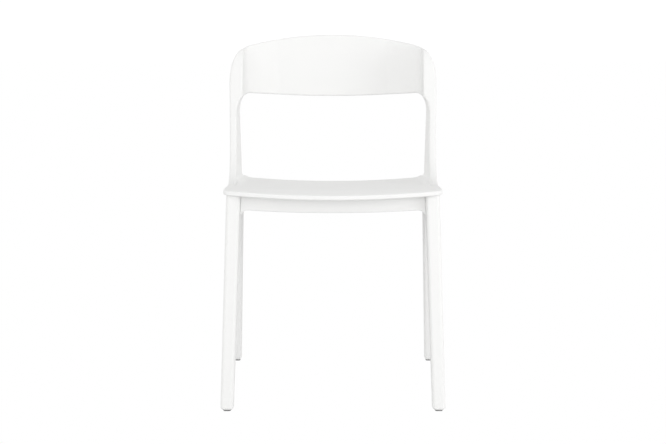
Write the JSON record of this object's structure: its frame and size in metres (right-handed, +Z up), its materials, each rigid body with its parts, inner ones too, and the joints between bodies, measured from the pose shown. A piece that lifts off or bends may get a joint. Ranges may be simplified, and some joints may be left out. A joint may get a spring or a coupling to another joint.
{
  "type": "stacking chair",
  "caption": "White plastic stacking chair with a wrap-around backrest band, blade posts, dished seat and tapered splayed legs.",
  "frame": {"origin": "on the floor, under the middle of the chair's overall box", "axes": "+Z up; the seat's front faces -Y; +X is to the right of someone who looks at the chair's front; names ending in left are on the -X side"},
  "size_m": [0.479, 0.484, 0.77],
  "materials": {
    "white_plastic": "satin moulded polypropylene with a fine grain",
    "zinc_steel": "zinc plated steel",
    "brass_insert": "turned brass",
    "dark_plastic": "moulded, matte",
    "glide_rubber": "matte",
    "soft_grey": "soft translucent grey, matte"
  },
  "bodies": {
    "root": {"seat_pan": "white_plastic", "back_hoop": "white_plastic", "front_apron": "white_plastic", "rear_apron": "white_plastic", "front_leg_left": "white_plastic", "front_leg_right": "white_plastic", "rear_leg_left": "white_plastic", "rear_leg_right": "white_plastic", "side_rail_left": "white_plastic", "side_rail_right": "white_plastic", "corner_bracket_front_left": "zinc_steel", "corner_bracket_front_right": "zinc_steel", "corner_bracket_rear_left": "zinc_steel", "corner_bracket_rear_right": "zinc_steel", "bracket_screws": "zinc_steel", "leg_bolts": "zinc_steel", "seat_screws": "zinc_steel", "post_bolts": "zinc_steel", "post_inserts": "brass_insert", "glide_plug_front_left": "dark_plastic", "glide_plug_front_right": "dark_plastic", "glide_plug_rear_left": "dark_plastic", "glide_plug_rear_right": "dark_plastic", "glide_pad_front_left": "glide_rubber", "glide_pad_front_right": "glide_rubber", "glide_pad_rear_left": "glide_rubber", "glide_pad_rear_right": "glide_rubber", "stacking_pads": "soft_grey"}
  },
  "joints": []
}
